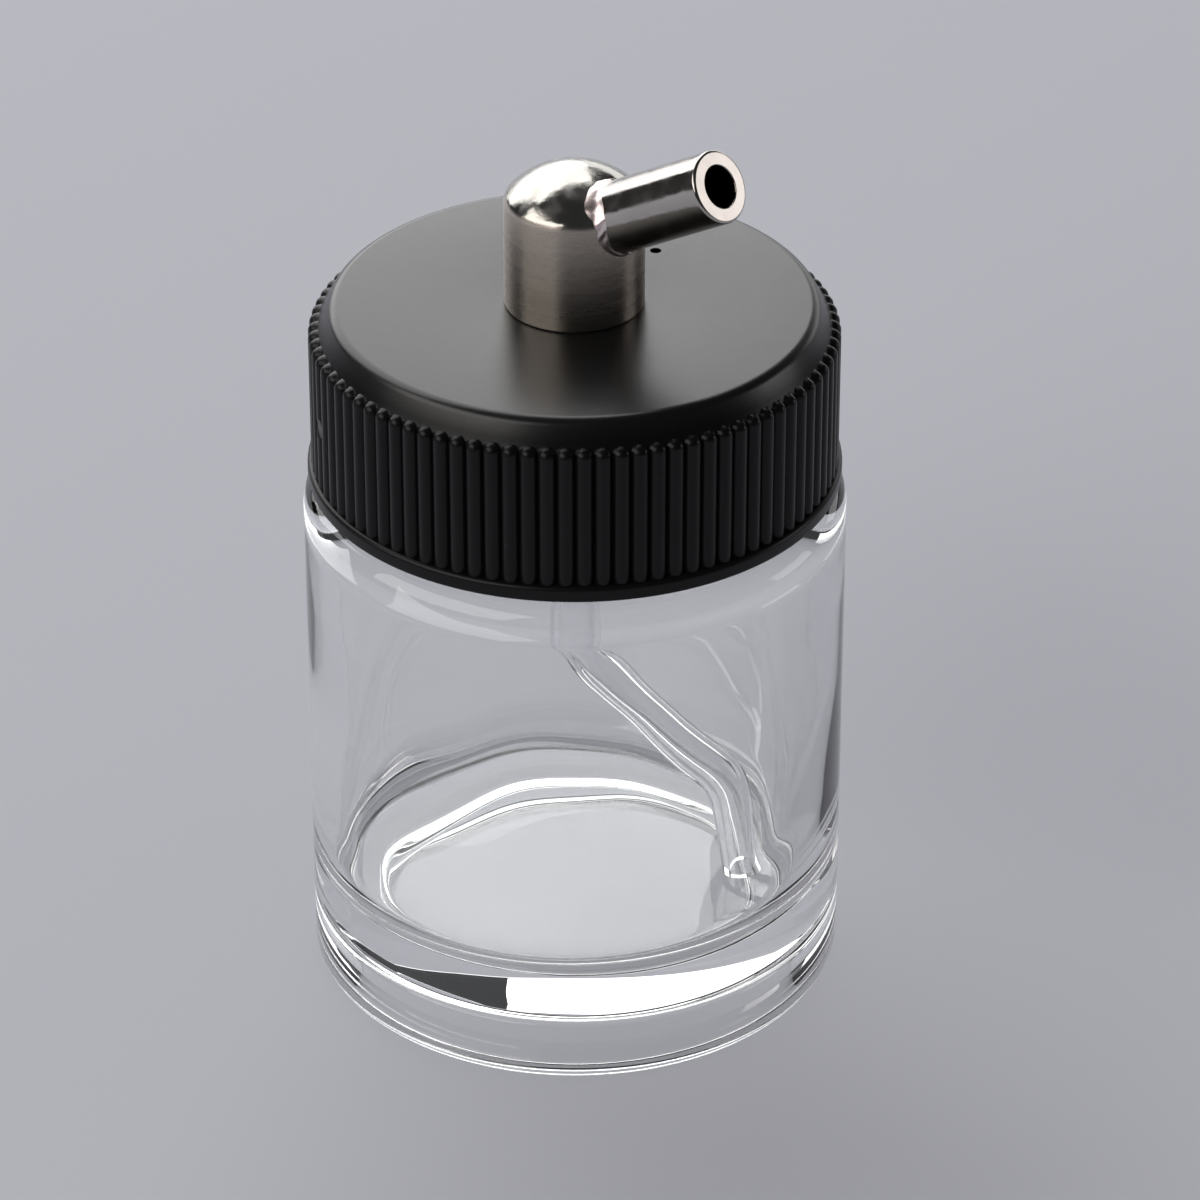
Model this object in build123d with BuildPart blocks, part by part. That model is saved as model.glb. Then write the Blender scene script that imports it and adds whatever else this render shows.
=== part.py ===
from build123d import *
import os
from math import cos, radians, sin, sqrt

# Siphon-feed paint jar for an airbrush: a screw-top glass jar, a ribbed plastic cap, and a plated
# elbow whose angled stem plugs into the airbrush and whose shank carries a dip tube into the jar.
# Millimetres, +Z up. The origin is the centre of the ring that the jar stands on.

# ---------------------------------------------------------------- driving dimensions
# Jar
jar_radius = 18.05
heel_radius = 1.6  # rounding where the wall meets the ring that the jar stands on
stand_ring_inner = 13.8
ring_edge = 0.25  # rounding of the ring's inner edge
recess_height = 3.4  # how far the flat underside is above the ring
recess_radius = 13.3
recess_rounding = 0.9
floor_height = 6.8  # inside floor
floor_corner = 3.3  # rounding between the floor and the wall
wall_inner_radius = 15.75
shoulder_height = 37.0
shoulder_rounding = 1.9
shoulder_glass = 2.3  # thickness of the glass at the shoulder
shoulder_inner_rounding = 1.5
neck_root_rounding = 0.6
neck_inner_rounding = 1.4
rim_height = 47.2
rim_outer_rounding = 0.7
rim_inner_rounding = 0.5
neck_radius = 14.7
mouth_radius = 12.6

# Screw thread between the jar and the cap, 6 turns to the inch, right-handed
thread_pitch = 25.4 / 6
thread_crest_radius = 15.75
thread_root_width = 2.4
thread_crest_width = 1.0
thread_start_height = 40.1
thread_turns = 1.125
thread_sink = 0.25  # how far each ridge's root goes into its wall

# Cap
cap_bottom = 37.43
cap_top = 49.89
cap_roof = 1.6
cap_bore_radius = 16.15
lip_inner_rounding = 0.2
lip_outer_rounding = 0.25
roof_rounding = 0.4
band_radius = 17.7
band_top = 38.57
band_rounding = 0.35
shoulder_foot = (16.95, 48.0)  # radius and height where the sloping shoulder starts
shoulder_foot_rounding = 0.6
shoulder_head = 15.9  # radius where it meets the flat top
shoulder_head_rounding = 0.8
rib_count = 90
rib_outer_radius = 17.45
rib_rounding = 0.62  # radius of one rib's round section
rib_foot = 38.2  # sunk into the band
rib_backing = 0.4  # how far the ribs' ring stays clear of the bore
rib_top = 48.3
cap_thread_crest_radius = 14.95
cap_thread_root_width = 1.9
cap_thread_crest_width = 0.7
cap_thread_turns = 0.95
cap_thread_lag = 45  # degrees that the cap's thread starts after the jar's
thread_gap = 0.2  # between the bearing flanks
vent_radius = 0.38
vent_x, vent_y = 5.38, 6.91

# Gasket between the cap's roof and the jar's rim
gasket_inner_radius = 12.2
gasket_outer_radius = 15.6

# Elbow
elbow_radius = 4.6
crease_height = 57.45  # where the dome starts
crease_rounding = 0.9
dome_radius = 6.0
shank_radius = 3.5
shank_clearance = 0.07
shank_bottom = 44.3
shank_chamfer = 0.4
elbow_bore_radius = 1.4
elbow_bore_top = 56.2

# Angled stem that the airbrush takes
stem_radius = 2.39
stem_bore_radius = 1.4
stem_axis_height = 55.0  # where its axis crosses the elbow's axis
stem_bearing = -36.2  # degrees from +X, seen from above
stem_rise = 30.0  # degrees above horizontal
stem_inner = 2.2  # distances along its axis from the elbow's axis
stem_root_end = 5.4
stem_root_radius = 2.33  # it tapers a hair where it is brazed in
stem_outer = 13.23
stem_chamfer = 0.14
braze_leg = 0.45  # reach of the braze along the elbow and along the stem

# Washer and nut on the shank
washer_thickness = 0.6
washer_radius = 6.0
washer_clearance = 0.2
nut_thickness = 2.4
nut_across_flats = 10.0
nut_chamfer = 0.5

# Dip tube, formed plastic, pressed into the shank
tube_radius = 1.5
tube_bore_radius = 0.9
tube_press = 0.02  # interference in the shank's socket
tube_headroom = 0.1  # between the tube's top and the socket's end
tube_top = 48.1
tube_bearing = -12.0  # degrees from +X, seen from above
tube_knee = 24.0  # height of the upper bend
tube_elbow_reach, tube_elbow_height = 10.6, 14.6  # the lower bend
tube_tip_reach, tube_tip_height = 12.0, 7.5
tube_bend = 6.0

# ---------------------------------------------------------------- worked-out dimensions
roof_underside = cap_top - cap_roof
washer_bottom = roof_underside - washer_thickness
nut_bottom = washer_bottom - nut_thickness
rib_circle = rib_outer_radius - rib_rounding
rib_shoulder = rib_top - rib_rounding  # where each rib's domed end starts
dome_centre = crease_height - sqrt(dome_radius**2 - elbow_radius**2)
socket_radius = tube_radius - tube_press

stem_direction = Vector(
    cos(radians(stem_rise)) * cos(radians(stem_bearing)),
    cos(radians(stem_rise)) * sin(radians(stem_bearing)),
    sin(radians(stem_rise)),
)
stem_start = Vector(0, 0, stem_axis_height)


def stem_plane(distance):
    """The plane across the stem's axis at a distance from the elbow's axis."""
    return Plane(origin=stem_start + stem_direction * distance, z_dir=stem_direction)


def outline(corners):
    """A flat face from corners of (radius, height, rounding)."""
    with BuildSketch(mode=Mode.PRIVATE) as flat:
        with BuildLine():
            FilletPolyline([c[:2] for c in corners], radius=[c[2] for c in corners], close=True)
        make_face()
    return flat.sketch


def width_at(radius, root_radius, crest_radius, root_width, crest_width):
    """The width of a tapering thread at a radius between its root and its crest."""
    share = (radius - root_radius) / (crest_radius - root_radius)
    return root_width + share * (crest_width - root_width)


def thread_ridge(root_radius, crest_radius, root_width, crest_width, start_height, turns, start_angle):
    """A helical ridge of trapezoid section, whose root is sunk a little into its wall."""
    sink = thread_sink if crest_radius > root_radius else -thread_sink
    with BuildPart() as ridge:
        with BuildLine() as path:
            Helix(thread_pitch, thread_pitch * turns, root_radius, center=(0, 0, start_height))
        start = path.line @ 0
        outward = Vector(start.X, start.Y, 0).normalized()
        with BuildSketch(Plane(origin=start, x_dir=outward, z_dir=path.line % 0)):
            height = crest_radius - root_radius
            Polygon(
                (-sink, -root_width / 2),
                (0, -root_width / 2),
                (height, -crest_width / 2),
                (height, crest_width / 2),
                (0, root_width / 2),
                (-sink, root_width / 2),
                align=None,
            )
        sweep(is_frenet=True)
    return ridge.part.rotate(Axis.Z, start_angle)


# ---------------------------------------------------------------- jar
jar_thread = thread_ridge(
    neck_radius,
    thread_crest_radius,
    thread_root_width,
    thread_crest_width,
    thread_start_height,
    thread_turns,
    0,
)

with BuildPart() as jar:
    with BuildSketch(Plane.XZ):
        add(
            outline(
                [
                    (0, recess_height, 0),
                    (recess_radius, recess_height, recess_rounding),
                    (stand_ring_inner, 0, ring_edge),
                    (jar_radius, 0, heel_radius),
                    (jar_radius, shoulder_height, shoulder_rounding),
                    (neck_radius, shoulder_height, neck_root_rounding),
                    (neck_radius, rim_height, rim_outer_rounding),
                    (mouth_radius, rim_height, rim_inner_rounding),
                    (mouth_radius, shoulder_height - shoulder_glass, neck_inner_rounding),
                    (
                        wall_inner_radius,
                        shoulder_height - shoulder_glass,
                        shoulder_inner_rounding,
                    ),
                    (wall_inner_radius, floor_height, floor_corner),
                    (0, floor_height, 0),
                ]
            )
        )
    revolve(axis=Axis.Z)
    add(jar_thread)

jar.part.label = "jar"

# ---------------------------------------------------------------- cap
# The cap's ridge hangs under the jar's, a flank's gap below it, so it rides up as the cap unscrews.
shared_widths = width_at(
    cap_thread_crest_radius, neck_radius, thread_crest_radius, thread_root_width, thread_crest_width
) + cap_thread_crest_width
cap_thread_start = (
    thread_start_height
    - shared_widths / 2
    - thread_gap
    + thread_pitch * cap_thread_lag / 360
)
cap_thread = thread_ridge(
    cap_bore_radius,
    cap_thread_crest_radius,
    cap_thread_root_width,
    cap_thread_crest_width,
    cap_thread_start,
    cap_thread_turns,
    cap_thread_lag,
)

with BuildPart() as ribs:
    with BuildSketch(Plane.XY.offset(rib_foot)):
        Circle(shoulder_foot[0])
        with PolarLocations(rib_circle, rib_count):
            Circle(rib_rounding)
        Circle(cap_bore_radius + rib_backing, mode=Mode.SUBTRACT)
    extrude(amount=rib_shoulder - rib_foot)
    with Locations((0, 0, rib_shoulder)):
        with PolarLocations(rib_circle, rib_count):
            Sphere(rib_rounding)

with BuildPart() as cap:
    with BuildSketch(Plane.XZ):
        add(
            outline(
                [
                    (cap_bore_radius, cap_bottom, lip_inner_rounding),
                    (band_radius, cap_bottom, lip_outer_rounding),
                    (band_radius, band_top, band_rounding),
                    (shoulder_foot[0], band_top, 0),
                    (*shoulder_foot, shoulder_foot_rounding),
                    (shoulder_head, cap_top, shoulder_head_rounding),
                    (0, cap_top, 0),
                    (0, roof_underside, 0),
                    (cap_bore_radius, roof_underside, roof_rounding),
                ]
            )
        )
    revolve(axis=Axis.Z)
    add(ribs.part)
    add(cap_thread)
    with BuildSketch(Plane.XY.offset(roof_underside)):
        Circle(shank_radius + shank_clearance)
        with Locations((vent_x, vent_y)):
            Circle(vent_radius)
    extrude(amount=cap_roof, mode=Mode.SUBTRACT)

cap.part.label = "cap"

# ---------------------------------------------------------------- gasket
with BuildPart() as cap_gasket:
    with BuildSketch(Plane.XY.offset(rim_height)):
        Circle(gasket_outer_radius)
        Circle(gasket_inner_radius, mode=Mode.SUBTRACT)
    extrude(amount=roof_underside - rim_height)

cap_gasket.part.label = "cap_gasket"

# ---------------------------------------------------------------- elbow, stem and braze
def rounded_post(grow):
    """The elbow above the cap, a cylinder with a shallow dome, grown all round by a distance."""
    with BuildPart(mode=Mode.PRIVATE) as post:
        with BuildSketch(Plane.XZ) as half_section:
            with BuildLine():
                Polyline(
                    (0, dome_centre + dome_radius + grow),
                    (0, cap_top),
                    (elbow_radius + grow, cap_top),
                    (elbow_radius + grow, crease_height),
                )
                RadiusArc(
                    (elbow_radius + grow, crease_height),
                    (0, dome_centre + dome_radius + grow),
                    -(dome_radius + grow),
                )
            make_face()
            crease = half_section.vertices().group_by(Axis.X)[-1].sort_by(Axis.Y)[-1]
            fillet(crease, crease_rounding + grow)
        revolve(axis=Axis.Z)
    return post.part


def stem_rod(grow):
    """The stem without its bore, grown sideways by a distance."""
    with BuildPart(mode=Mode.PRIVATE) as rod:
        with Locations(stem_plane(stem_inner).location):
            Cone(
                stem_root_radius + grow,
                stem_radius + grow,
                stem_root_end - stem_inner,
                align=(Align.CENTER, Align.CENTER, Align.MIN),
            )
        with Locations(stem_plane(stem_root_end).location):
            Cylinder(
                stem_radius + grow,
                stem_outer - stem_root_end,
                align=(Align.CENTER, Align.CENTER, Align.MIN),
            )
    return rod.part


with BuildPart() as braze_fillet:
    add(rounded_post(braze_leg))
    add(stem_rod(braze_leg), mode=Mode.INTERSECT)
    add(rounded_post(0), mode=Mode.SUBTRACT)
    add(stem_rod(0), mode=Mode.SUBTRACT)

braze_fillet.part.label = "braze_fillet"

with BuildPart() as elbow_body:
    add(rounded_post(0))
    with BuildSketch(Plane.XY.offset(shank_bottom)):
        Circle(shank_radius)
    extrude(amount=cap_top - shank_bottom)
    chamfer(elbow_body.edges().group_by(Axis.Z)[0], shank_chamfer)
    with BuildSketch(Plane.XY.offset(shank_bottom)):
        Circle(socket_radius)
    extrude(amount=tube_top + tube_headroom - shank_bottom, mode=Mode.SUBTRACT)
    with BuildSketch(Plane.XY.offset(shank_bottom)):
        Circle(elbow_bore_radius)
    extrude(amount=elbow_bore_top - shank_bottom, mode=Mode.SUBTRACT)
    add(stem_rod(0), mode=Mode.SUBTRACT)
    with BuildSketch(stem_plane(0)):
        Circle(stem_bore_radius)
    extrude(amount=stem_inner, mode=Mode.SUBTRACT)

elbow_body.part.label = "elbow_body"

with BuildPart() as feed_stem:
    add(stem_rod(0))
    with BuildSketch(stem_plane(stem_inner)):
        Circle(stem_bore_radius)
    extrude(amount=stem_outer - stem_inner, mode=Mode.SUBTRACT)
    end_face = feed_stem.faces().sort_by(lambda f: (f.center() - stem_start).dot(stem_direction))[-1]
    chamfer(end_face.edges(), stem_chamfer)

feed_stem.part.label = "feed_stem"

# ---------------------------------------------------------------- washer and nut
with BuildPart() as flat_washer:
    with BuildSketch(Plane.XY.offset(washer_bottom)):
        Circle(washer_radius)
        Circle(shank_radius + washer_clearance, mode=Mode.SUBTRACT)
    extrude(amount=washer_thickness)

flat_washer.part.label = "flat_washer"

with BuildPart() as lock_nut:
    with BuildSketch(Plane.XY.offset(nut_bottom)):
        RegularPolygon(nut_across_flats / 2, 6, major_radius=False)
    extrude(amount=nut_thickness)
    with BuildSketch(Plane.XZ):
        add(
            outline(
                [
                    (0, nut_bottom, 0),
                    (nut_across_flats / 2, nut_bottom, 0),
                    (nut_across_flats / 2 + 2 * nut_chamfer, nut_bottom + nut_chamfer, 0),
                    (nut_across_flats / 2 + 2 * nut_chamfer, washer_bottom, 0),
                    (0, washer_bottom, 0),
                ]
            )
        )
    revolve(axis=Axis.Z, mode=Mode.INTERSECT)
    with BuildSketch(Plane.XY.offset(nut_bottom)):
        Circle(shank_radius)
    extrude(amount=nut_thickness, mode=Mode.SUBTRACT)

lock_nut.part.label = "lock_nut"

# ---------------------------------------------------------------- dip tube
tube_outward = Vector(cos(radians(tube_bearing)), sin(radians(tube_bearing)), 0)
tube_plane = Plane(origin=(0, 0, 0), x_dir=tube_outward, z_dir=tube_outward.cross(Vector(0, 0, 1)))

with BuildPart() as dip_tube:
    with BuildLine(tube_plane) as tube_path:
        FilletPolyline(
            (0, tube_top),
            (0, tube_knee),
            (tube_elbow_reach, tube_elbow_height),
            (tube_tip_reach, tube_tip_height),
            radius=tube_bend,
        )
    with BuildSketch(Plane(origin=tube_path.line @ 0, z_dir=tube_path.line % 0)):
        Circle(tube_radius)
        Circle(tube_bore_radius, mode=Mode.SUBTRACT)
    sweep()

dip_tube.part.label = "dip_tube"

# ---------------------------------------------------------------- files
pieces = [
    jar,
    cap,
    cap_gasket,
    elbow_body,
    feed_stem,
    braze_fillet,
    flat_washer,
    lock_nut,
    dip_tube,
]

os.makedirs("parts", exist_ok=True)
for piece in pieces:
    export_step(piece.part, f"parts/{piece.part.label}.step")
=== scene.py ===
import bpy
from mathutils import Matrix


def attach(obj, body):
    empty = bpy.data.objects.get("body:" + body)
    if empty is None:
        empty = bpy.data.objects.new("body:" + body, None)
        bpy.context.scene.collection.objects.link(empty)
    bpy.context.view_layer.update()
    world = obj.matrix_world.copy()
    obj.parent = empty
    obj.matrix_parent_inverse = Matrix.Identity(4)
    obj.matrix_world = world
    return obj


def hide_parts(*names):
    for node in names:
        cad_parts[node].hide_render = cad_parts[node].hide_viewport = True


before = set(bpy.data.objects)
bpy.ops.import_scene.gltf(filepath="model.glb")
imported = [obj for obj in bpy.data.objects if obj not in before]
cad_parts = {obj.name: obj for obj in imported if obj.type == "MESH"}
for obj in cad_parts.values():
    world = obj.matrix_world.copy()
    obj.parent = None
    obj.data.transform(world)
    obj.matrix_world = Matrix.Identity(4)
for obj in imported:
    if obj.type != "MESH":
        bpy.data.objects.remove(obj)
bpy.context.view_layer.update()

from math import acos, atan2, ceil, cos, hypot, pi, radians, sin, sqrt

import bpy
import bmesh
import numpy as np
from mathutils import Matrix, Vector

MM = 0.001
TOUCH = 0.01  # how near a height or a radius counts as the same, in millimetres

# ---------------------------------------------------------------- dimensions, in millimetres
# Jar
JAR_RADIUS = 18.05
HEEL_ROUNDING = 1.6
STAND_RING_INNER = 13.8
RING_EDGE = 0.25
RECESS_RADIUS = 13.3
RECESS_HEIGHT = 3.4
RECESS_ROUNDING = 0.9
FLOOR = 6.8
FLOOR_CORNER = 3.3
WALL_INNER = 15.75
SHOULDER = 37.0
SHOULDER_ROUNDING = 1.9
SHOULDER_GLASS = 2.3
SHOULDER_INNER_ROUNDING = 1.5
RIM = 47.2
RIM_OUTER_ROUNDING = 0.7
RIM_INNER_ROUNDING = 0.5
NECK = 14.7
NECK_ROOT_ROUNDING = 0.6
NECK_INNER_ROUNDING = 1.4
MOUTH = 12.6

# Screw thread: a ridge's half width at its crest and at its root, and its height
PITCH = 25.4 / 6
THREAD_START = 40.1
THREAD_TURNS = 1.125
THREAD_RIDGE = (0.5, 1.2, 1.05)
THREAD_FADE = 0.06  # in turns, at each end

# How the moulded glass strays from a true lathe shape
DROOP = 0.45  # how far the edge of the underside hangs down
DROOP_BEARING = radians(110)
DROOP_RADII = (11.4, 13.2)  # it comes in between these
FLOOR_RISE, FLOOR_TILT, FLOOR_WAVE = 0.18, 0.28, 0.1  # of the hollow's floor
FLOOR_BEARING = radians(165)  # the side that it tilts up on
FLOOR_CURVE = 2.5  # how far the floor's curve reaches above its flat
FLOOR_IN_RADII, FLOOR_OUT_RADII = (5.5, 12.6), (13.2, 15.2)
SHIFT = 0.45  # how far the foot of the hollow is moved aside
SHIFT_RADII = (6.0, 12.0)
SHIFT_HEIGHTS = (FLOOR + 3, FLOOR + 16)  # it dies out between these
RIPPLE, FINE_RIPPLE = 0.05, 0.03  # of the hollow's wall
RIPPLE_IN_HEIGHTS, RIPPLE_OUT_HEIGHTS = (FLOOR + 4, FLOOR + 8), (SHOULDER - 9, SHOULDER - 5)
HOLLOW_TOP = SHOULDER - 3
THREADED_NECK = (SHOULDER + 1, RIM - 0.5)

# Cap
CAP_BOTTOM = 37.43
CAP_TOP = 49.89
ROOF_UNDERSIDE = 48.29
ROOF_ROUNDING = 0.4
CAP_BORE = 16.15
LIP_INNER_ROUNDING = 0.2
LIP_OUTER_ROUNDING = 0.25
BAND_RADIUS = 17.7
BAND_TOP = 38.57
BAND_ROUNDING = 0.35
SHOULDER_FOOT = (16.95, 48.0)
SHOULDER_FOOT_ROUNDING = 0.6
SHOULDER_HEAD = 15.9
SHOULDER_HEAD_ROUNDING = 0.8
RIBS = 90
RIB_OUTER = 17.45
RIB_ROUNDING = 0.62
RIB_TOP = 48.3
SPANS_PER_RIB = 12
CAP_THREAD_START = 39.044
CAP_THREAD_TURNS = 0.95
CAP_THREAD_LAG = radians(45)
CAP_THREAD_RIDGE = (0.35, 0.95, 1.2)
VENT_X, VENT_Y = 5.38, 6.91
VENT_RADIUS = 0.38
SHANK_HOLE = 3.57
SHANK_HOLE_EDGE = 0.1

# Round patch between the ribs where the cap's moulding gate was
GATE_BEARING = radians(-163)
GATE_HEIGHT = 43.1
GATE_RADIUS = 0.75
GATE_EDGE = 0.25
GATE_DEPTH = 0.12  # below the ribs' crests

# Elbow and stem
ELBOW_RADIUS = 4.6
SEAT_EDGE = 0.14
CREASE = 57.45
CREASE_ROUNDING = 0.9
DOME_RADIUS = 6.0
SHANK = 3.5
SHANK_BOTTOM = 44.3
SHANK_ROUNDING = 0.3
SHANK_ROOT_ROUNDING = 0.05
SHANK_THREAD_PITCH = 0.75
SHANK_THREAD_DEPTH = 0.18
SHANK_THREAD_END = CAP_TOP - 1.6
SOCKET = 1.48
SOCKET_TOP = 48.2
SOCKET_ROUNDING = 0.1
BORE = 1.4
BORE_TOP = 56.2
DRILL_POINT = 0.6  # the height of the bore's pointed end for each millimetre of its radius
STEM_RADIUS = 2.39
STEM_ROOT_RADIUS = 2.33
STEM_ROOT_END = 5.4
STEM_INNER = 2.2
STEM_OUTER = 13.23
STEM_OUTER_ROUNDING = 0.2
STEM_BORE_ROUNDING = 0.07
STEM_HEIGHT = 55.0
STEM_BEARING = radians(-36.2)
STEM_RISE = radians(30)
STEM_HOLE_GAP = 0.005
STEM_HOLE_END = 9  # clear of the elbow's outside

# Braze: its reach along the elbow and the stem where it is fullest, and how its lumps vary that
BRAZE_BEARING = radians(150)
BRAZE_LEAST = 0.12
BRAZE_ON_ELBOW, BRAZE_ELBOW_LUMP = 0.46, 0.2
BRAZE_ON_STEM, BRAZE_STEM_LUMP = 0.6, 0.22
BRAZE_RIPPLE = 0.05
BRAZE_FOOT_SINK, BRAZE_HEAD_SINK = 0.02, 0.01  # into the elbow and the stem
BRAZE_WAIST = 0.1  # how far its hollow stays off the joint
BRAZE_ROOT_DEPTH = 0.25  # below the stem's outside
INSIDE_ELBOW = 1.5  # a distance along the stem that is inside the elbow

# Dip tube
TUBE_RADIUS = 1.5
TUBE_BORE = 0.9
TUBE_BEARING = radians(-12)
TUBE_ROUTE = [(0, 48.1, 0), (0, 24.0, 6.0), (10.6, 14.6, 6.0), (12.0, 7.5, 0)]

# How finely the meshes are divided: the longest spans, in millimetres, and the spans in a turn
JAR_SPAN, NECK_SPAN, UNDERSIDE_SPAN = 0.6, 0.16, 0.13
CAP_SPAN, RIB_END_SPAN = 0.3, 0.05
SHANK_SPAN = 0.08
STEM_SPAN = 0.6
TUBE_SPAN = 0.8
JAR_TURN, ELBOW_TURN, STEM_TURN, STEM_HOLE_TURN, VENT_TURN, TUBE_TURN = 360, 192, 160, 96, 32, 48
BRAZE_SECTIONS, BRAZE_POINTS = 144, 9

# Half the width of the floor that the object stands on, in metres
STAGE_HALF = 3.0

# ---------------------------------------------------------------- worked-out dimensions
DOME_CENTRE = CREASE - sqrt(DOME_RADIUS**2 - ELBOW_RADIUS**2)
CREASE_INNER = ELBOW_RADIUS - CREASE_ROUNDING
CREASE_CENTRE = DOME_CENTRE + sqrt((DOME_RADIUS - CREASE_ROUNDING) ** 2 - CREASE_INNER**2)
RIB_CIRCLE = RIB_OUTER - RIB_ROUNDING
STEM_DIRECTION = Vector(
    (cos(STEM_RISE) * cos(STEM_BEARING), cos(STEM_RISE) * sin(STEM_BEARING), sin(STEM_RISE))
)


# ---------------------------------------------------------------- camera
def add_camera():
    data = bpy.data.cameras.new("camera")
    data.lens = 176.7
    data.sensor_width = 36
    data.clip_start = 0.01
    data.clip_end = 20
    camera = bpy.data.objects.new("camera", data)
    camera.location = (0, -0.3392, 0.2314)
    target = Vector((0.00166, 0, 0.02704))
    camera.rotation_euler = (target - camera.location).to_track_quat("-Z", "Y").to_euler()
    bpy.context.scene.collection.objects.link(camera)
    bpy.context.scene.camera = camera


# ---------------------------------------------------------------- profiles and meshes
def rounded(corners, closed=False, step=radians(7), longest=None):
    """Points along a line through corners of (radius, height, rounding), with arcs at the roundings."""
    points = []
    count = len(corners)
    for i, (x, y, rounding) in enumerate(corners):
        corner = np.array((x, y), float)
        if not closed and i in (0, count - 1) or rounding == 0:
            points.append(corner)
            continue
        before = np.array(corners[i - 1][:2], float) - corner
        after = np.array(corners[(i + 1) % count][:2], float) - corner
        before /= np.linalg.norm(before)
        after /= np.linalg.norm(after)
        half = acos(max(-1, min(1, before @ after))) / 2
        bisector = (before + after) / np.linalg.norm(before + after)
        centre = corner + bisector * rounding / sin(half)
        start = corner + before * rounding / np.tan(half) - centre
        end = corner + after * rounding / np.tan(half) - centre
        first = atan2(start[1], start[0])
        turn = (atan2(end[1], end[0]) - first + pi) % (2 * pi) - pi
        steps = max(2, ceil(abs(turn) / step))
        for k in range(steps + 1):
            a = first + turn * k / steps
            points.append(centre + rounding * np.array((cos(a), sin(a))))
    if longest:
        points = subdivided(points, longest)
    return points


def subdivided(points, longest, low=-1e9, high=1e9):
    """The same line with its long runs between two heights divided."""
    fine = [np.array(points[0], float)]
    for a, b in zip(points, points[1:]):
        a, b = np.array(a, float), np.array(b, float)
        inside = min(a[1], b[1]) < high and max(a[1], b[1]) > low
        steps = max(1, ceil(np.linalg.norm(b - a) / longest)) if inside else 1
        fine += [a + (b - a) * k / steps for k in range(1, steps + 1)]
    return fine


def lathe(profile, segments, shape=None, closed=True):
    """Vertices and faces of a profile turned about Z. shape(angle, radius, height) moves the points."""
    profile = np.array(profile, float)
    on_axis = profile[:, 0] < 1e-9
    angles = np.arange(segments) * 2 * pi / segments
    radius = np.repeat(profile[:, 0][:, None], segments, 1)
    height = np.repeat(profile[:, 1][:, None], segments, 1)
    angle = np.repeat(angles[None, :], len(profile), 0)
    if shape:
        radius, height = shape(angle, radius, height)
    verts, rows = [], []
    for i in range(len(profile)):
        if on_axis[i]:
            rows.append([len(verts)] * segments)
            verts.append((0, 0, float(height[i].mean())))
            continue
        rows.append(list(range(len(verts), len(verts) + segments)))
        verts += zip(radius[i] * np.cos(angles), radius[i] * np.sin(angles), height[i])
    faces = []
    last = len(profile) if closed else len(profile) - 1
    for i in range(last):
        low, high = rows[i], rows[(i + 1) % len(profile)]
        for j in range(segments):
            k = (j + 1) % segments
            face = [low[j], low[k], high[k], high[j]]
            face = [v for n, v in enumerate(face) if v not in face[:n]]
            if len(face) > 2:
                faces.append(face)
    return verts, faces


def make_mesh(name, verts, faces, matrix=None):
    mesh = bpy.data.meshes.new(name)
    verts = [Vector(v) for v in verts]
    if matrix:
        verts = [matrix @ v for v in verts]
    mesh.from_pydata([v * MM for v in verts], [], faces)
    whole = bmesh.new()
    whole.from_mesh(mesh)
    bmesh.ops.recalc_face_normals(whole, faces=whole.faces)
    whole.to_mesh(mesh)
    whole.free()
    return mesh


def add_piece(name, mesh, body, material, replaces, sharp=35):
    mesh.polygons.foreach_set("use_smooth", [True] * len(mesh.polygons))
    mesh.set_sharp_from_angle(angle=radians(sharp))
    piece = bpy.data.objects.new(name, mesh)
    bpy.context.scene.collection.objects.link(piece)
    piece.data.materials.append(material)
    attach(piece, body)
    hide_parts(replaces)


def carve(mesh, cutter):
    """The mesh with a closed cutter mesh taken out of it."""
    block = bpy.data.objects.new("block", mesh)
    tool = bpy.data.objects.new("tool", cutter)
    bpy.context.scene.collection.objects.link(block)
    bpy.context.scene.collection.objects.link(tool)
    cut = block.modifiers.new("cut", "BOOLEAN")
    cut.operation = "DIFFERENCE"
    cut.solver = "EXACT"
    cut.object = tool
    graph = bpy.context.evaluated_depsgraph_get()
    carved = bpy.data.meshes.new_from_object(block.evaluated_get(graph))
    bpy.data.objects.remove(block)
    bpy.data.objects.remove(tool)
    return carved


def stem_matrix():
    """Turns a lathe's frame into the stem's: +Z along the stem, from the elbow's axis outwards."""
    turn = STEM_DIRECTION.to_track_quat("Z", "Y").to_matrix().to_4x4()
    return Matrix.Translation((0, 0, STEM_HEIGHT)) @ turn


def smoothstep(low, high, value):
    t = np.clip((value - low) / (high - low), 0, 1)
    return t * t * (3 - 2 * t)


def thread_lift(angle, height, start, turns, ridge, lag=0.0):
    """The height of a helical ridge above its wall, fading in and out at its ends."""
    half_crest, half_root, tallest = ridge
    lift = np.zeros_like(height)
    for wrap in range(3):
        turn = (angle - lag) % (2 * pi) / (2 * pi) + wrap
        centre = start + PITCH * turn
        across = 1 - smoothstep(half_crest, half_root, np.abs(height - centre))
        fade = smoothstep(0, THREAD_FADE, turn) * (1 - smoothstep(turns - THREAD_FADE, turns, turn))
        lift = np.maximum(lift, across * fade)
    return lift * tallest


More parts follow.
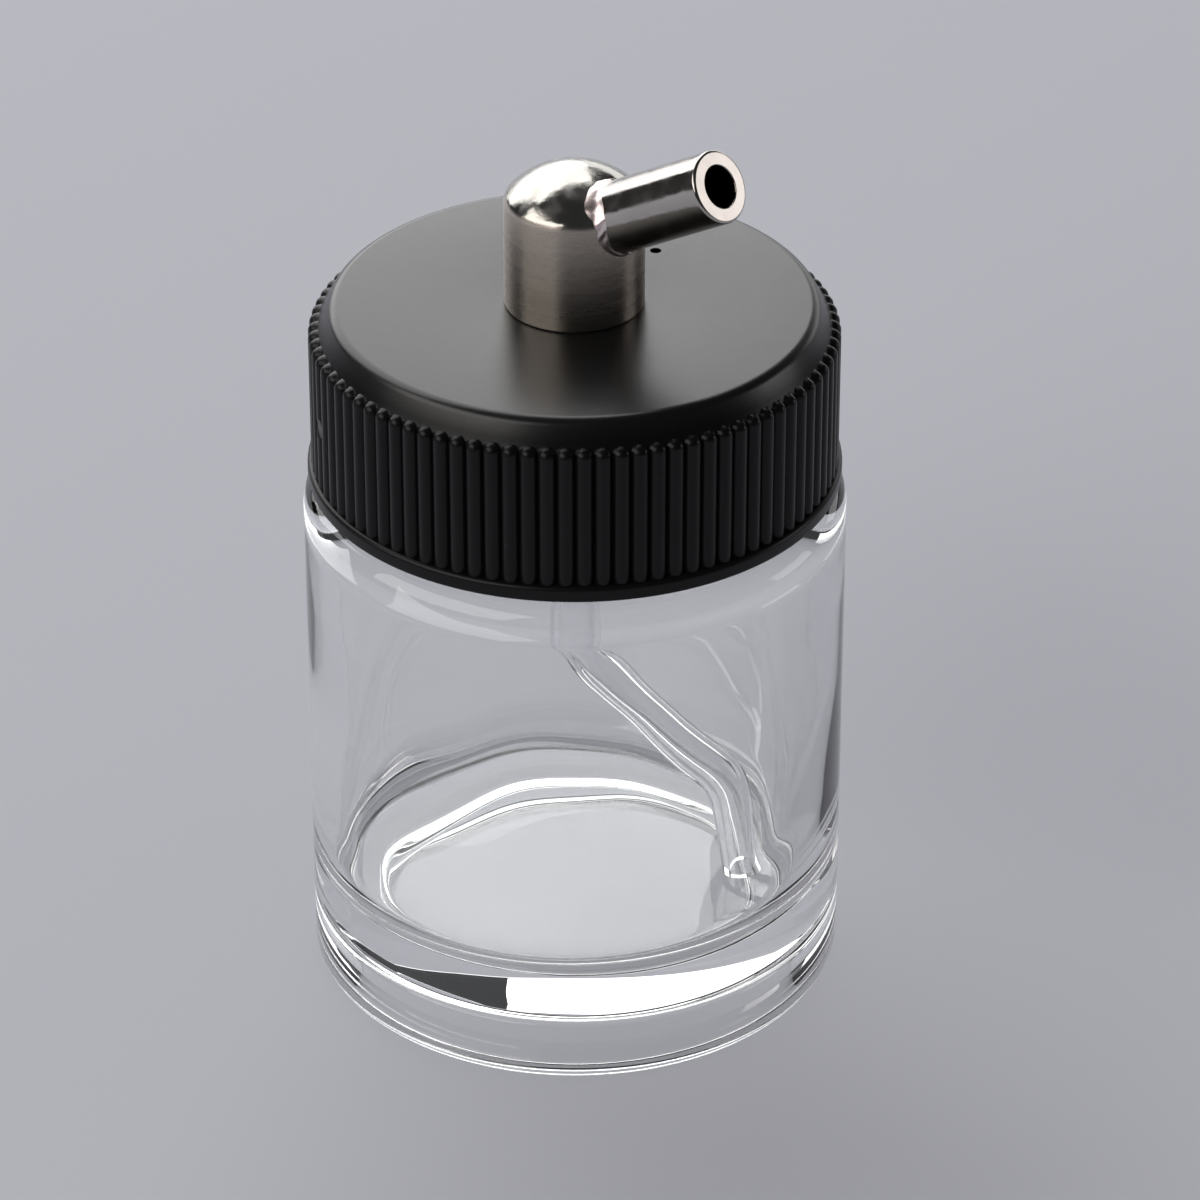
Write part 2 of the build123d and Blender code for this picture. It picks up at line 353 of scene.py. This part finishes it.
# ---------------------------------------------------------------- materials
class Nodes:
    """A material's node tree, with short calls for what the materials here use."""

    def __init__(self, name):
        self.material = bpy.data.materials.new(name)
        self.material.use_nodes = True
        self.tree = self.material.node_tree
        self.shader = self.tree.nodes["Principled BSDF"]
        self.output = self.tree.nodes["Material Output"]

    def set(self, **values):
        for key, value in values.items():
            self.shader.inputs[key.replace("_", " ")].default_value = value

    def add(self, kind, **values):
        node = self.tree.nodes.new(kind)
        for key, value in values.items():
            name = key.replace("_", " ")
            if name in node.inputs:
                node.inputs[name].default_value = value
            else:
                setattr(node, key, value)
        return node

    def link(self, source, target):
        self.tree.links.new(source, target)

    def into(self, name, source):
        self.link(source, self.shader.inputs[name])

    def height(self):
        """The height of a point of the piece, in metres."""
        place = self.add("ShaderNodeTexCoord")
        parts = self.add("ShaderNodeSeparateXYZ")
        self.link(place.outputs["Object"], parts.inputs[0])
        return parts.outputs["Z"]

    def noise(self, scale, detail=2.0, stretch=(1, 1, 1)):
        place = self.add("ShaderNodeTexCoord")
        mapping = self.add("ShaderNodeMapping", Scale=stretch)
        self.link(place.outputs["Object"], mapping.inputs["Vector"])
        node = self.add("ShaderNodeTexNoise", Scale=scale, Detail=detail)
        self.link(mapping.outputs["Vector"], node.inputs["Vector"])
        return node.outputs["Fac"]

    def ramp(self, source, low, high, from_value, to_value):
        node = self.add("ShaderNodeMapRange")
        self.link(source, node.inputs["Value"])
        node.inputs["From Min"].default_value = low
        node.inputs["From Max"].default_value = high
        node.inputs["To Min"].default_value = from_value
        node.inputs["To Max"].default_value = to_value
        return node.outputs["Result"]

    def blend(self, factor, first, second):
        """A colour between two, each a tuple or another node's output."""
        node = self.add("ShaderNodeMix", data_type="RGBA")
        self.link(factor, node.inputs["Factor"])
        for socket, value in ((node.inputs[6], first), (node.inputs[7], second)):
            if isinstance(value, tuple):
                socket.default_value = (*value, 1)
            else:
                self.link(value, socket)
        return node.outputs[2]

    def mix(self, factor, first, second):
        """A number between two other nodes' outputs."""
        node = self.add("ShaderNodeMix", data_type="FLOAT")
        self.link(factor, node.inputs["Factor"])
        self.link(first, node.inputs[2])
        self.link(second, node.inputs[3])
        return node.outputs[0]

    def bump(self, source, distance, strength, normal=None):
        node = self.add("ShaderNodeBump", Strength=strength, Distance=distance)
        self.link(source, node.inputs["Height"])
        if normal:
            self.link(normal, node.inputs["Normal"])
        return node.outputs["Normal"]


def let_shadow_rays_through(nodes):
    """Lets light through for shadow rays, so that a clear piece doesn't cast a black shadow."""
    light_path = nodes.add("ShaderNodeLightPath")
    clear = nodes.add("ShaderNodeBsdfTransparent", Color=(1, 1, 1, 1))
    mix = nodes.add("ShaderNodeMixShader")
    nodes.link(light_path.outputs["Is Shadow Ray"], mix.inputs[0])
    nodes.link(nodes.shader.outputs[0], mix.inputs[1])
    nodes.link(clear.outputs[0], mix.inputs[2])
    nodes.link(mix.outputs[0], nodes.output.inputs["Surface"])


def glass():
    nodes = Nodes("clear_glass")
    nodes.set(Base_Color=(0.985, 0.992, 0.99, 1), Roughness=0.0, IOR=1.52, Transmission_Weight=1.0)
    waves = nodes.noise(90, 1.0, (1, 1, 0.35))
    nodes.into("Normal", nodes.bump(waves, 0.00012, 0.5))
    let_shadow_rays_through(nodes)
    return nodes.material


def cap_plastic():
    """Black plastic with a little dust. Its ribbed side has a lower specular level than its flat top,
    which darkens the side.
    """
    nodes = Nodes("cap_plastic")
    nodes.set(IOR=1.5)
    dust = nodes.ramp(nodes.noise(2600, 3.0), 0.72, 0.8, 0.0, 1.0)
    nodes.into("Base Color", nodes.blend(dust, (0.006, 0.006, 0.0065), (0.03, 0.03, 0.032)))
    nodes.into("Roughness", nodes.ramp(nodes.noise(700, 3.0), 0.3, 0.7, 0.28, 0.31))
    nodes.into("Normal", nodes.bump(nodes.noise(5200, 4.0), 0.000012, 0.35))
    # the ribbed side gets a lower specular level than the flat top, which makes the side darker
    nodes.into("Specular IOR Level", nodes.ramp(nodes.height(), 0.0486, 0.0495, 0.2, 0.5))
    return nodes.material


def turned_nickel():
    """Plated brass, turned on the cylinder and polished above the crease."""
    nodes = Nodes("turned_nickel")
    nodes.set(Metallic=1.0, Anisotropic=0.9, Anisotropic_Rotation=0.25)
    around = nodes.add("ShaderNodeTangent", direction_type="RADIAL", axis="Z")
    nodes.into("Tangent", around.outputs["Tangent"])
    polished = nodes.ramp(nodes.height(), 0.05735, 0.05765, 0.0, 1.0)
    tint = nodes.blend(nodes.noise(330, 4.0), (0.52, 0.455, 0.395), (0.60, 0.54, 0.475))
    nodes.into("Base Color", nodes.blend(polished, tint, (0.44, 0.425, 0.395)))
    turned_roughness = nodes.ramp(nodes.noise(60, 4.0, (1, 1, 30)), 0.3, 0.7, 0.25, 0.3)
    polished_roughness = nodes.ramp(nodes.noise(900, 4.0), 0.35, 0.7, 0.08, 0.22)
    nodes.into("Roughness", nodes.mix(polished, turned_roughness, polished_roughness))
    rings = nodes.bump(nodes.noise(40, 3.0, (1, 1, 160)), 0.00002, 0.05)
    nodes.into("Normal", nodes.bump(nodes.noise(1900, 5.0), 0.00004, 0.4, rings))
    return nodes.material


def polished_nickel():
    nodes = Nodes("polished_nickel")
    nodes.set(Metallic=1.0)
    patches = nodes.noise(420, 3.0)
    nodes.into("Base Color", nodes.blend(patches, (0.42, 0.395, 0.37), (0.50, 0.475, 0.45)))
    nodes.into("Roughness", nodes.ramp(nodes.noise(800, 4.0), 0.3, 0.7, 0.08, 0.2))
    nodes.into("Normal", nodes.bump(nodes.noise(1500, 5.0), 0.00004, 0.3))
    return nodes.material


def silver_braze():
    nodes = Nodes("silver_braze")
    nodes.set(Metallic=1.0)
    patches = nodes.noise(700, 3.0)
    nodes.into("Base Color", nodes.blend(patches, (0.72, 0.56, 0.52), (0.9, 0.85, 0.85)))
    nodes.into("Roughness", nodes.ramp(nodes.noise(900, 4.0), 0.3, 0.7, 0.22, 0.42))
    nodes.into("Normal", nodes.bump(nodes.noise(1500, 4.0), 0.0001, 0.35))
    return nodes.material


def liner():
    nodes = Nodes("liner")
    nodes.set(Roughness=0.75)
    patches = nodes.noise(900, 3.0)
    nodes.into("Base Color", nodes.blend(patches, (0.72, 0.72, 0.70), (0.82, 0.82, 0.80)))
    nodes.into("Normal", nodes.bump(nodes.noise(3000, 3.0), 0.00005, 0.5))
    return nodes.material


def zinc_steel():
    nodes = Nodes("zinc_steel")
    nodes.set(Metallic=1.0)
    patches = nodes.noise(500, 4.0)
    nodes.into("Base Color", nodes.blend(patches, (0.50, 0.51, 0.53), (0.64, 0.65, 0.66)))
    nodes.into("Roughness", nodes.ramp(nodes.noise(1200, 4.0), 0.3, 0.7, 0.28, 0.45))
    nodes.into("Normal", nodes.bump(nodes.noise(2500, 4.0), 0.00002, 0.4))
    return nodes.material


def clear_tube():
    nodes = Nodes("clear_tube")
    nodes.set(Base_Color=(0.99, 0.99, 0.995, 1), Roughness=0.02, IOR=1.47, Transmission_Weight=1.0)
    streaks = nodes.noise(500, 2.0, (1, 1, 0.2))
    nodes.into("Normal", nodes.bump(streaks, 0.00004, 0.4))
    let_shadow_rays_through(nodes)
    return nodes.material


def floor_finish():
    nodes = Nodes("floor")
    nodes.set(Base_Color=(0.55, 0.56, 0.62, 1), Roughness=0.85)
    return nodes.material


# ---------------------------------------------------------------- jar
def jar_outline():
    shoulder_inside = SHOULDER - SHOULDER_GLASS
    outline = rounded(
        [
            (0, RECESS_HEIGHT, 0),
            (RECESS_RADIUS, RECESS_HEIGHT, RECESS_ROUNDING),
            (STAND_RING_INNER, 0, RING_EDGE),
            (JAR_RADIUS, 0, HEEL_ROUNDING),
            (JAR_RADIUS, SHOULDER, SHOULDER_ROUNDING),
            (NECK, SHOULDER, NECK_ROOT_ROUNDING),
            (NECK, RIM, RIM_OUTER_ROUNDING),
            (MOUTH, RIM, RIM_INNER_ROUNDING),
            (MOUTH, shoulder_inside, NECK_INNER_ROUNDING),
            (WALL_INNER, shoulder_inside, SHOULDER_INNER_ROUNDING),
            (WALL_INNER, FLOOR, FLOOR_CORNER),
            (0, FLOOR, 0),
        ],
        longest=JAR_SPAN,
    )
    with_fine_neck = subdivided(outline, NECK_SPAN, SHOULDER + 1.2, RIM - 0.8)
    return subdivided(
        with_fine_neck, UNDERSIDE_SPAN, RECESS_HEIGHT - TOUCH, RECESS_HEIGHT + TOUCH
    )


def underside_drop(angle, radius, height):
    """How far the underside hangs down at its back edge."""
    recessed = height < RECESS_HEIGHT + TOUCH
    behind = (0.5 + 0.5 * np.cos(angle - DROOP_BEARING)) ** 2
    droop = DROOP * smoothstep(*DROOP_RADII, radius) * behind
    return np.where(recessed, droop * (height / RECESS_HEIGHT) ** 2, 0)


def floor_lift(angle, radius, height):
    """How far the hollow's floor is above its true height, where the glass settled unevenly."""
    on_floor = (height > FLOOR - TOUCH) & (height < FLOOR + FLOOR_CURVE)
    tilt = FLOOR_RISE + FLOOR_TILT * np.cos(angle - FLOOR_BEARING)
    settled = tilt + FLOOR_WAVE * np.cos(3 * angle + 0.6)
    near_edge = smoothstep(*FLOOR_IN_RADII, radius) * (1 - smoothstep(*FLOOR_OUT_RADII, radius))
    return np.where(on_floor, settled * near_edge, 0)


def hollow_offset(angle, radius, height):
    """How far the hollow's wall strays, as its foot is moved aside and its glass is rippled."""
    in_hollow = (radius < WALL_INNER + TOUCH) & (height > FLOOR - TOUCH) & (height < HOLLOW_TOP)
    at_foot = 1 - smoothstep(*SHIFT_HEIGHTS, height)
    shift = SHIFT * smoothstep(*SHIFT_RADII, radius) * at_foot
    wide_ripple = RIPPLE * np.sin(5 * angle + 0.8 + 0.05 * height)
    ripple = wide_ripple + FINE_RIPPLE * np.sin(11 * angle - 0.11 * height)
    above_foot = smoothstep(*RIPPLE_IN_HEIGHTS, height)
    on_wall = above_foot * (1 - smoothstep(*RIPPLE_OUT_HEIGHTS, height))
    return np.where(in_hollow, ripple * on_wall - shift * np.cos(angle), 0)


def jar_shape(angle, radius, height):
    height = height - underside_drop(angle, radius, height)
    offset = hollow_offset(angle, radius, height)
    height = height + floor_lift(angle, radius, height)
    radius = radius + offset
    low, high = THREADED_NECK
    on_neck = (radius > NECK - TOUCH) & (height > low) & (height < high)
    ridge = thread_lift(angle, height, THREAD_START, THREAD_TURNS, THREAD_RIDGE)
    return radius + np.where(on_neck, ridge, 0), height


def make_jar(material):
    verts, faces = lathe(jar_outline(), JAR_TURN, jar_shape, closed=False)
    mesh = make_mesh("glass_jar", verts, faces)
    add_piece("glass_jar", mesh, "jar", material, "jar")


# ---------------------------------------------------------------- cap
def cap_outline():
    outline = rounded(
        [
            (CAP_BORE, CAP_BOTTOM + 0.6, 0),
            (CAP_BORE, CAP_BOTTOM, LIP_INNER_ROUNDING),
            (BAND_RADIUS, CAP_BOTTOM, LIP_OUTER_ROUNDING),
            (BAND_RADIUS, BAND_TOP, BAND_ROUNDING),
            (SHOULDER_FOOT[0], BAND_TOP, 0),
            (*SHOULDER_FOOT, SHOULDER_FOOT_ROUNDING),
            (SHOULDER_HEAD, CAP_TOP, SHOULDER_HEAD_ROUNDING),
            (SHANK_HOLE, CAP_TOP, SHANK_HOLE_EDGE),
            (SHANK_HOLE, ROOF_UNDERSIDE, SHANK_HOLE_EDGE),
            (CAP_BORE, ROOF_UNDERSIDE, ROOF_ROUNDING),
        ],
        closed=True,
    )
    loop = [*outline, outline[0]]
    with_fine_ends = subdivided(loop, RIB_END_SPAN, RIB_TOP - 0.7, RIB_TOP + 0.15)
    return subdivided(with_fine_ends, CAP_SPAN, CAP_BOTTOM + 0.6, ROOF_UNDERSIDE - 0.5)[:-1]


def with_ribs(angle, radius, height, outside):
    """The radius with each rib's round section, which ends in a dome, standing out of it."""
    away = (angle + pi / RIBS) % (2 * pi / RIBS) - pi / RIBS
    over_end = np.clip(height - (RIB_TOP - RIB_ROUNDING), 0, RIB_ROUNDING)
    section = np.sqrt(RIB_ROUNDING**2 - over_end**2)
    reach = section**2 - (RIB_CIRCLE * np.sin(away)) ** 2
    rib = RIB_CIRCLE * np.cos(away) + np.sqrt(np.clip(reach, 0, None))
    return np.where(outside & (reach > 0), np.maximum(radius, rib), radius)


def with_gate_mark(angle, radius, height, outside):
    """The radius with the grooves between the ribs filled in at the moulding gate."""
    round_about = (angle - GATE_BEARING + pi) % (2 * pi) - pi
    from_gate = np.hypot(round_about * RIB_OUTER, height - GATE_HEIGHT)
    filled = (1 - smoothstep(GATE_RADIUS - GATE_EDGE, GATE_RADIUS, from_gate)) * outside
    return radius + (RIB_OUTER - GATE_DEPTH - radius) * filled


def cap_shape(angle, radius, height):
    outside = (radius > CAP_BORE + 0.05) & (height > BAND_TOP - TOUCH) & (height < RIB_TOP)
    radius = with_ribs(angle, radius, height, outside)
    radius = with_gate_mark(angle, radius, height, outside)
    inside = (np.abs(radius - CAP_BORE) < 2 * TOUCH) & (height < ROOF_UNDERSIDE - 1)
    ridge = thread_lift(
        angle, height, CAP_THREAD_START, CAP_THREAD_TURNS, CAP_THREAD_RIDGE, CAP_THREAD_LAG
    )
    return radius - np.where(inside, ridge, 0), height


def vent_cutter():
    low, high = ROOF_UNDERSIDE - 1, CAP_TOP + 1
    outline = [(0, low), (VENT_RADIUS, low), (VENT_RADIUS, high), (0, high)]
    verts, faces = lathe(outline, VENT_TURN, closed=False)
    return make_mesh("vent", verts, faces, Matrix.Translation((VENT_X, VENT_Y, 0)))


def make_cap(material):
    verts, faces = lathe(cap_outline(), RIBS * SPANS_PER_RIB, cap_shape)
    mesh = carve(make_mesh("ribbed_cap", verts, faces), vent_cutter())
    add_piece("ribbed_cap", mesh, "cap", material, "cap")


# ---------------------------------------------------------------- elbow and stem
def dome_outline(crease_steps=12, dome_steps=24):
    """The elbow's outside from below its crease, round the crease and over the dome."""
    tangent = atan2(CREASE_CENTRE - DOME_CENTRE, CREASE_INNER)
    points = [(ELBOW_RADIUS, CREASE_CENTRE - 1.5)]
    for k in range(crease_steps + 1):
        a = tangent * k / crease_steps
        across = CREASE_INNER + CREASE_ROUNDING * cos(a)
        points.append((across, CREASE_CENTRE + CREASE_ROUNDING * sin(a)))
    for k in range(1, dome_steps):
        a = tangent + (pi / 2 - tangent) * k / dome_steps
        points.append((DOME_RADIUS * cos(a), DOME_CENTRE + DOME_RADIUS * sin(a)))
    return [*points, (0, DOME_CENTRE + DOME_RADIUS)]


def elbow_outline():
    shank = rounded(
        [
            (BORE, BORE_TOP, 0),
            (BORE, SOCKET_TOP, 0),
            (SOCKET, SOCKET_TOP, 0),
            (SOCKET, SHANK_BOTTOM, SOCKET_ROUNDING),
            (SHANK, SHANK_BOTTOM, SHANK_ROUNDING),
            (SHANK, CAP_TOP, SHANK_ROOT_ROUNDING),
            (ELBOW_RADIUS, CAP_TOP, SEAT_EDGE),
            (ELBOW_RADIUS, CREASE - 2, 0),
        ]
    )
    shank = subdivided(shank, SHANK_SPAN, SHANK_BOTTOM + 0.4, CAP_TOP - 0.3)
    return [(0, BORE_TOP + BORE * DRILL_POINT), *shank, *dome_outline()]


def elbow_shape(angle, radius, height):
    """Cuts the fine thread into the shank."""
    phase = (height / SHANK_THREAD_PITCH - angle / (2 * pi)) % 1
    groove = 2 * SHANK_THREAD_DEPTH * np.abs(phase - 0.5)
    threaded = (height > SHANK_BOTTOM + SHANK_ROUNDING) & (height < SHANK_THREAD_END)
    on_shank = (np.abs(radius - SHANK) < TOUCH) & threaded
    return radius - np.where(on_shank, groove, 0), height


def stem_hole_cutter():
    """The stem's hole in the elbow: its bore as far as the stem's inner end, and then its outside."""
    outline = [
        (0, 0.01),
        (BORE, 0.01),
        (BORE, STEM_INNER),
        (STEM_ROOT_RADIUS + STEM_HOLE_GAP, STEM_INNER),
        (STEM_RADIUS + STEM_HOLE_GAP, STEM_ROOT_END),
        (STEM_RADIUS + STEM_HOLE_GAP, STEM_HOLE_END),
        (0, STEM_HOLE_END),
    ]
    verts, faces = lathe(outline, STEM_HOLE_TURN, closed=False)
    return make_mesh("stem_hole", verts, faces, stem_matrix())


def make_elbow(material):
    verts, faces = lathe(elbow_outline(), ELBOW_TURN, elbow_shape, closed=False)
    mesh = carve(make_mesh("elbow", verts, faces), stem_hole_cutter())
    add_piece("elbow", mesh, "elbow", material, "elbow_body")


def make_stem(material):
    outline = rounded(
        [
            (BORE, STEM_INNER, 0),
            (STEM_ROOT_RADIUS, STEM_INNER, 0),
            (STEM_RADIUS, STEM_ROOT_END, 0),
            (STEM_RADIUS, STEM_OUTER, STEM_OUTER_ROUNDING),
            (BORE, STEM_OUTER, STEM_BORE_ROUNDING),
        ],
        closed=True,
    )
    verts, faces = lathe(subdivided(outline, STEM_SPAN), STEM_TURN)
    mesh = make_mesh("stem", verts, faces, stem_matrix())
    add_piece("stem", mesh, "elbow", material, "feed_stem")


# ---------------------------------------------------------------- braze
def off_elbow(point):
    """The distance of a point outside the elbow's cylinder, crease or dome."""
    across = hypot(point.x, point.y)
    if point.z <= CREASE_CENTRE:
        return across - ELBOW_RADIUS
    if across * (CREASE_CENTRE - DOME_CENTRE) > (point.z - DOME_CENTRE) * CREASE_INNER:
        return hypot(across - CREASE_INNER, point.z - CREASE_CENTRE) - CREASE_ROUNDING
    return hypot(across, point.z - DOME_CENTRE) - DOME_RADIUS


def by_stem(place, angle, radius, along):
    """A point given round, away from and along the stem's axis."""
    return place @ Vector((radius * cos(angle), radius * sin(angle), along))


def leaves_elbow(place, angle, radius):
    """How far along the stem a line beside it comes out of the elbow, found by halving."""
    low, high = INSIDE_ELBOW, STEM_HOLE_END
    for _ in range(40):
        middle = (low + high) / 2
        if off_elbow(by_stem(place, angle, radius, middle)) < 0:
            low = middle
        else:
            high = middle
    return high


def braze_section(place, angle, count):
    """One section of the braze, from its foot on the elbow to its head on the stem, hollow between."""
    lump = 0.5 * sin(3 * angle + 0.7) + 0.25 * sin(7 * angle + 2.1) + 0.1 * sin(13 * angle)
    toward = (0.5 + 0.5 * cos(angle - BRAZE_BEARING)) ** 2
    fullness = BRAZE_LEAST + (1 - BRAZE_LEAST) * toward
    foot_radius = STEM_RADIUS + fullness * (BRAZE_ON_ELBOW + BRAZE_ELBOW_LUMP * lump)
    on_stem = fullness * (BRAZE_ON_STEM + BRAZE_STEM_LUMP * lump)
    joint = leaves_elbow(place, angle, STEM_RADIUS)
    foot_end = leaves_elbow(place, angle, foot_radius) - BRAZE_FOOT_SINK
    foot = by_stem(place, angle, foot_radius, foot_end)
    head = by_stem(place, angle, STEM_RADIUS - BRAZE_HEAD_SINK, joint + on_stem)
    hollow = by_stem(place, angle, STEM_RADIUS + BRAZE_WAIST, joint + BRAZE_WAIST)
    points = []
    for k in range(count):
        t = k / (count - 1)
        ripple = BRAZE_RIPPLE * sin(pi * t) * sin(11 * angle + 5 * t + 3 * sin(4 * angle))
        point = foot * (1 - t) ** 2 + hollow * 2 * t * (1 - t) + head * t**2
        outward = (by_stem(place, angle, 10, joint + 5) - point).normalized()
        points.append(point + outward * ripple)
    root = by_stem(place, angle, STEM_RADIUS - BRAZE_ROOT_DEPTH, joint - BRAZE_WAIST)
    return [*points, root]


def make_braze(material):
    place = stem_matrix()
    verts, faces = [], []
    for i in range(BRAZE_SECTIONS):
        verts += braze_section(place, 2 * pi * i / BRAZE_SECTIONS, BRAZE_POINTS)
    row = BRAZE_POINTS + 1
    for i in range(BRAZE_SECTIONS):
        here, there = i * row, (i + 1) % BRAZE_SECTIONS * row
        for k in range(row):
            n = (k + 1) % row
            faces.append([here + k, here + n, there + n, there + k])
    mesh = make_mesh("braze", verts, faces)
    add_piece("braze", mesh, "elbow", material, "braze_fillet", sharp=60)


# ---------------------------------------------------------------- dip tube
def make_dip_tube(material):
    route = subdivided(rounded(TUBE_ROUTE, step=radians(3)), TUBE_SPAN)
    outward = Vector((cos(TUBE_BEARING), sin(TUBE_BEARING), 0))
    up = Vector((0, 0, 1))
    side = outward.cross(up)
    points = [outward * reach + up * height for reach, height in route]
    count = len(points)
    verts, faces = [], []
    for radius in (TUBE_RADIUS, TUBE_BORE):
        for i, point in enumerate(points):
            ahead = points[min(i + 1, count - 1)] - points[max(i - 1, 0)]
            across = ahead.normalized().cross(side)
            for k in range(TUBE_TURN):
                a = 2 * pi * k / TUBE_TURN
                verts.append(point + (across * cos(a) + side * sin(a)) * radius)
    for skin in (0, 1):
        for i in range(count - 1):
            row = (skin * count + i) * TUBE_TURN
            for k in range(TUBE_TURN):
                n = (k + 1) % TUBE_TURN
                faces.append([row + k, row + n, row + TUBE_TURN + n, row + TUBE_TURN + k])
    for i in (0, count - 1):
        outer, inner = i * TUBE_TURN, (count + i) * TUBE_TURN
        for k in range(TUBE_TURN):
            n = (k + 1) % TUBE_TURN
            faces.append([outer + k, outer + n, inner + n, inner + k])
    mesh = make_mesh("siphon_tube", verts, faces)
    add_piece("siphon_tube", mesh, "elbow", material, "dip_tube")


# ---------------------------------------------------------------- CAD pieces that stay
def finish_cad_piece(node, material, bevel):
    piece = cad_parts[node]
    piece.data.materials.clear()
    piece.data.materials.append(material)
    edge = piece.modifiers.new("edge", "BEVEL")
    edge.width = bevel * MM
    edge.segments = 2
    edge.limit_method = "ANGLE"
    edge.angle_limit = radians(40)


# ---------------------------------------------------------------- studio
def add_floor(material):
    corners = [(-1, -1), (1, -1), (1, 1), (-1, 1)]
    verts = [(x * STAGE_HALF, y * STAGE_HALF, 0) for x, y in corners]
    mesh = bpy.data.meshes.new("floor")
    mesh.from_pydata(verts, [], [(0, 1, 2, 3)])
    floor = bpy.data.objects.new("floor", mesh)
    floor.data.materials.append(material)
    bpy.context.scene.collection.objects.link(floor)


def add_softbox(name, azimuth, elevation, distance, size, radiance, color):
    """A rectangular light that faces the object. Azimuth 0 is +Y, the object's back, and 90 is +X."""
    turn, rise = radians(azimuth), radians(elevation)
    data = bpy.data.lights.new(name, "AREA")
    data.shape = "RECTANGLE"
    data.size, data.size_y = size
    data.energy = radiance * pi * size[0] * size[1]
    data.color = color
    light = bpy.data.objects.new(name, data)
    direction = Vector((sin(turn) * cos(rise), cos(turn) * cos(rise), sin(rise)))
    light.location = direction * distance
    light.rotation_euler = (-light.location).to_track_quat("-Z", "Y").to_euler()
    bpy.context.scene.collection.objects.link(light)


def add_lights():
    """Softboxes, with their sizes and distances in metres."""
    white = (1.0, 1.0, 1.0)
    add_softbox("back_softbox", -24, 39, 2.0, (2.2, 2.04), 2.5, white)
    add_softbox("horizon_softbox", 5, 13, 2.2, (4.4, 0.75), 1.5, white)
    add_softbox("left_softbox", -120, 36, 1.8, (2.0, 1.1), 2.4, (1.0, 0.97, 0.93))
    add_softbox("right_softbox", 82, 12, 1.8, (0.72, 0.6), 1.9, (1.0, 0.96, 0.95))


def add_world():
    world = bpy.data.worlds.new("studio")
    world.use_nodes = True
    background = world.node_tree.nodes["Background"]
    background.inputs["Color"].default_value = (0.95, 0.97, 1.0, 1)
    background.inputs["Strength"].default_value = 0.045
    bpy.context.scene.world = world


# ---------------------------------------------------------------- the scene
add_camera()
make_jar(glass())
make_cap(cap_plastic())
make_elbow(turned_nickel())
make_stem(polished_nickel())
make_braze(silver_braze())
make_dip_tube(clear_tube())
finish_cad_piece("cap_gasket", liner(), 0.12)
zinc = zinc_steel()
finish_cad_piece("flat_washer", zinc, 0.08)
finish_cad_piece("lock_nut", zinc, 0.1)
add_floor(floor_finish())
add_lights()
add_world()
bpy.context.scene.view_settings.view_transform = "Standard"
bpy.context.scene.cycles.caustics_reflective = False
bpy.context.scene.cycles.caustics_refractive = False
